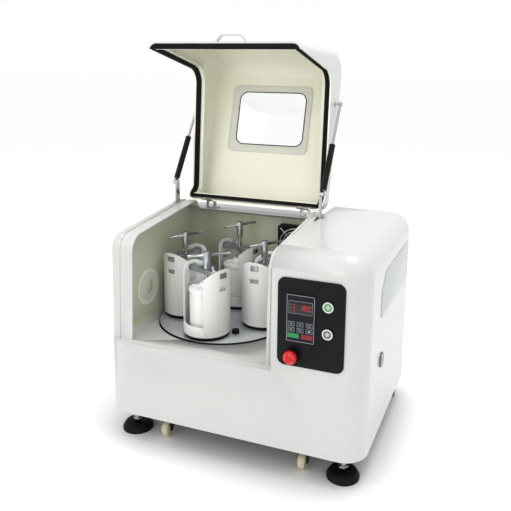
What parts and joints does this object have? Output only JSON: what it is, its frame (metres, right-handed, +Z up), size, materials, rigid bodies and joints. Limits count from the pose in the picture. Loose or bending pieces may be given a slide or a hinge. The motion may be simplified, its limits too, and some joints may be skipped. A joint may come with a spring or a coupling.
{
  "type": "planetary ball mill",
  "caption": "Bench-cabinet planetary ball mill with hinged lid, gas struts, turntable with clamped jars in turning holders, and control console.",
  "frame": {"origin": "on the floor under the middle of the outline with the lid open", "axes": "+Z up, +X to the right of someone facing the front, +Y to the back"},
  "size_m": [0.755, 0.6456, 1.1398],
  "materials": {
    "casing": "semi gloss white",
    "chamber_tub": "satin warm white",
    "vent_grille": "white",
    "fan_rotor": "black",
    "fan_frame": "black",
    "strut_cylinder": "black",
    "strut_rod": "bright",
    "lid_shell": "semi gloss white moulding",
    "lid_seal": "black foam rubber",
    "window_frame": "warm white",
    "window_pane": "clear",
    "lid_handle": "bright",
    "lid_fittings": "bright zinc",
    "casing_fittings": "bright zinc",
    "control_panel": "near black film",
    "keypad": "film keypad",
    "start_button": "green lens",
    "stop_button": "bright",
    "estop_button": "red",
    "bezels": "bright",
    "lock_barrel": "bright",
    "power_inlet": "black",
    "levelling_feet": "black pads, bright studs",
    "wheel": "ivory",
    "castor_fork": "dark steel",
    "base_frame": "dark paint",
    "controller_box": "dark grey",
    "turntable": "turned steel",
    "main_shaft": "turned",
    "bearing_housing": "machined",
    "drive_belt": "black",
    "motor": "grey paint",
    "motor_rotor": "turned",
    "holder": "white powder coat",
    "jar": "white",
    "jar_lid": "white",
    "crossbar": "zinc",
    "clamp_screw": "bright steel",
    "planet_belts": "black"
  },
  "bodies": {
    "cabinet": {"casing": "casing", "chamber_tub": "chamber_tub", "vent_grille": "vent_grille", "fan_frame": "fan_frame", "casing_fittings": "casing_fittings", "base_frame": "base_frame", "bearing_housing": "bearing_housing", "motor": "motor", "drive_belt": "drive_belt", "controller_box": "controller_box", "power_inlet": "power_inlet", "control_panel": "control_panel", "keypad": "keypad", "bezels": "bezels", "levelling_feet": "levelling_feet"},
    "lid": {"lid_shell": "lid_shell", "lid_seal": "lid_seal", "window_frame": "window_frame", "window_pane": "window_pane", "lid_handle": "lid_handle", "lid_fittings": "lid_fittings"},
    "turntable": {"turntable": "turntable", "main_shaft": "main_shaft", "planet_belts": "planet_belts"},
    "strut_cylinder_left": {"strut_cylinder_left": "strut_cylinder"},
    "strut_rod_left": {"strut_rod_left": "strut_rod"},
    "strut_cylinder_right": {"strut_cylinder_right": "strut_cylinder"},
    "strut_rod_right": {"strut_rod_right": "strut_rod"},
    "planet_front": {"holder_front": "holder", "jar_front": "jar", "jar_lid_front": "jar_lid", "crossbar_front": "crossbar"},
    "screw_front": {"clamp_screw_front": "clamp_screw"},
    "planet_right": {"holder_right": "holder", "jar_right": "jar", "jar_lid_right": "jar_lid", "crossbar_right": "crossbar"},
    "screw_right": {"clamp_screw_right": "clamp_screw"},
    "planet_rear": {"holder_rear": "holder", "jar_rear": "jar", "jar_lid_rear": "jar_lid", "crossbar_rear": "crossbar"},
    "screw_rear": {"clamp_screw_rear": "clamp_screw"},
    "planet_left": {"holder_left": "holder", "jar_left": "jar", "jar_lid_left": "jar_lid", "crossbar_left": "crossbar"},
    "screw_left": {"clamp_screw_left": "clamp_screw"},
    "motor_rotor": {"motor_rotor": "motor_rotor"},
    "fan_rotor": {"fan_rotor": "fan_rotor"},
    "start_button": {"start_button": "start_button"},
    "stop_button": {"stop_button": "stop_button"},
    "estop_button": {"estop_button": "estop_button"},
    "lock_barrel": {"lock_barrel": "lock_barrel"},
    "castor_fork_left": {"castor_fork_left": "castor_fork"},
    "wheel_front_left": {"wheel_front_left": "wheel"},
    "wheel_rear_left": {"wheel_rear_left": "wheel"},
    "castor_fork_right": {"castor_fork_right": "castor_fork"},
    "wheel_front_right": {"wheel_front_right": "wheel"},
    "wheel_rear_right": {"wheel_rear_right": "wheel"}
  },
  "joints": [
    {"name": "lid_hinge", "type": "hinge", "parent": "cabinet", "child": "lid", "pos_m": [-0.108, 0.15223, 0.62], "axis": [1, 0, 0], "range_deg": [0, 100]},
    {"name": "strut_swing_left", "type": "hinge", "parent": "cabinet", "child": "strut_cylinder_left", "pos_m": [-0.3525, 0.07123, 0.684], "axis": [1, 0, 0], "range_deg": [0, 131.06]},
    {"name": "strut_slide_left", "type": "slide", "parent": "strut_cylinder_left", "child": "strut_rod_left", "axis": [0, 0.5425, 0.84], "range_m": [-0.05359, 0]},
    {"name": "strut_swing_right", "type": "hinge", "parent": "cabinet", "child": "strut_cylinder_right", "pos_m": [0.1415, 0.07123, 0.684], "axis": [1, 0, 0], "range_deg": [0, 131.06]},
    {"name": "strut_slide_right", "type": "slide", "parent": "strut_cylinder_right", "child": "strut_rod_right", "axis": [0, 0.5425, 0.84], "range_m": [-0.05359, 0]},
    {"name": "turntable_spin", "type": "hinge", "parent": "cabinet", "child": "turntable", "pos_m": [-0.1385, -0.01477, 0.29], "axis": [0, 0, 1], "continuous": true},
    {"name": "planet_spin_front", "type": "hinge", "parent": "turntable", "child": "planet_front", "pos_m": [-0.13172, -0.14409, 0.29], "axis": [0, 0, 1], "continuous": true},
    {"name": "clamp_turn_front", "type": "hinge", "parent": "planet_front", "child": "screw_front", "pos_m": [-0.13172, -0.14409, 0.29], "axis": [0, 0, 1], "range_deg": [-180, 180]},
    {"name": "planet_spin_right", "type": "hinge", "parent": "turntable", "child": "planet_right", "pos_m": [-0.00918, -0.00799, 0.29], "axis": [0, 0, 1], "continuous": true},
    {"name": "clamp_turn_right", "type": "hinge", "parent": "planet_right", "child": "screw_right", "pos_m": [-0.00918, -0.00799, 0.29], "axis": [0, 0, 1], "range_deg": [-180, 180]},
    {"name": "planet_spin_rear", "type": "hinge", "parent": "turntable", "child": "planet_rear", "pos_m": [-0.14528, 0.11455, 0.29], "axis": [0, 0, 1], "continuous": true},
    {"name": "clamp_turn_rear", "type": "hinge", "parent": "planet_rear", "child": "screw_rear", "pos_m": [-0.14528, 0.11455, 0.29], "axis": [0, 0, 1], "range_deg": [-180, 180]},
    {"name": "planet_spin_left", "type": "hinge", "parent": "turntable", "child": "planet_left", "pos_m": [-0.26782, -0.02155, 0.29], "axis": [0, 0, 1], "continuous": true},
    {"name": "clamp_turn_left", "type": "hinge", "parent": "planet_left", "child": "screw_left", "pos_m": [-0.26782, -0.02155, 0.29], "axis": [0, 0, 1], "range_deg": [-180, 180]},
    {"name": "motor_spin", "type": "hinge", "parent": "cabinet", "child": "motor_rotor", "pos_m": [0.2475, 0.08323, 0.182], "axis": [0, 0, 1], "continuous": true},
    {"name": "fan_spin", "type": "hinge", "parent": "cabinet", "child": "fan_rotor", "pos_m": [0.0265, 0.17023, 0.493], "axis": [0, 1, 0], "continuous": true},
    {"name": "start_press", "type": "slide", "parent": "cabinet", "child": "start_button", "axis": [0, 1, 0], "range_m": [0, 0.003], "stiffness_N_per_m": 300},
    {"name": "stop_press", "type": "slide", "parent": "cabinet", "child": "stop_button", "axis": [0, 1, 0], "range_m": [0, 0.003], "stiffness_N_per_m": 300},
    {"name": "estop_press", "type": "slide", "parent": "cabinet", "child": "estop_button", "axis": [0, 1, 0], "range_m": [0, 0.004], "stiffness_N_per_m": 600},
    {"name": "lock_turn", "type": "hinge", "parent": "cabinet", "child": "lock_barrel", "pos_m": [0.3725, -0.11877, 0.288], "axis": [1, 0, 0], "range_deg": [0, 90]},
    {"name": "castor_swivel_left", "type": "hinge", "parent": "cabinet", "child": "castor_fork_left", "pos_m": [-0.2075, -0.23077, 0.057], "axis": [0, 0, 1], "continuous": true},
    {"name": "wheel_front_left_roll", "type": "hinge", "parent": "castor_fork_left", "child": "wheel_front_left", "pos_m": [-0.2075, -0.24477, 0.028], "axis": [1, 0, 0], "continuous": true},
    {"name": "wheel_rear_left_roll", "type": "hinge", "parent": "cabinet", "child": "wheel_rear_left", "pos_m": [-0.2075, 0.25523, 0.028], "axis": [1, 0, 0], "continuous": true},
    {"name": "castor_swivel_right", "type": "hinge", "parent": "cabinet", "child": "castor_fork_right", "pos_m": [0.2025, -0.23077, 0.057], "axis": [0, 0, 1], "continuous": true},
    {"name": "wheel_front_right_roll", "type": "hinge", "parent": "castor_fork_right", "child": "wheel_front_right", "pos_m": [0.2025, -0.24477, 0.028], "axis": [1, 0, 0], "continuous": true},
    {"name": "wheel_rear_right_roll", "type": "hinge", "parent": "cabinet", "child": "wheel_rear_right", "pos_m": [0.2025, 0.25523, 0.028], "axis": [1, 0, 0], "continuous": true}
  ],
  "couplings": [
    {"joint": "strut_swing_left", "follows": "lid_hinge", "ratio": 1.3105},
    {"joint": "strut_slide_left", "follows": "lid_hinge", "m_per_rad": -0.030648},
    {"joint": "strut_swing_right", "follows": "lid_hinge", "ratio": 1.3105},
    {"joint": "strut_slide_right", "follows": "lid_hinge", "m_per_rad": -0.030648},
    {"joint": "planet_spin_front", "follows": "turntable_spin", "ratio": -2},
    {"joint": "planet_spin_right", "follows": "turntable_spin", "ratio": -2},
    {"joint": "planet_spin_rear", "follows": "turntable_spin", "ratio": -2},
    {"joint": "planet_spin_left", "follows": "turntable_spin", "ratio": -2},
    {"joint": "motor_spin", "follows": "turntable_spin", "ratio": 3.007}
  ]
}
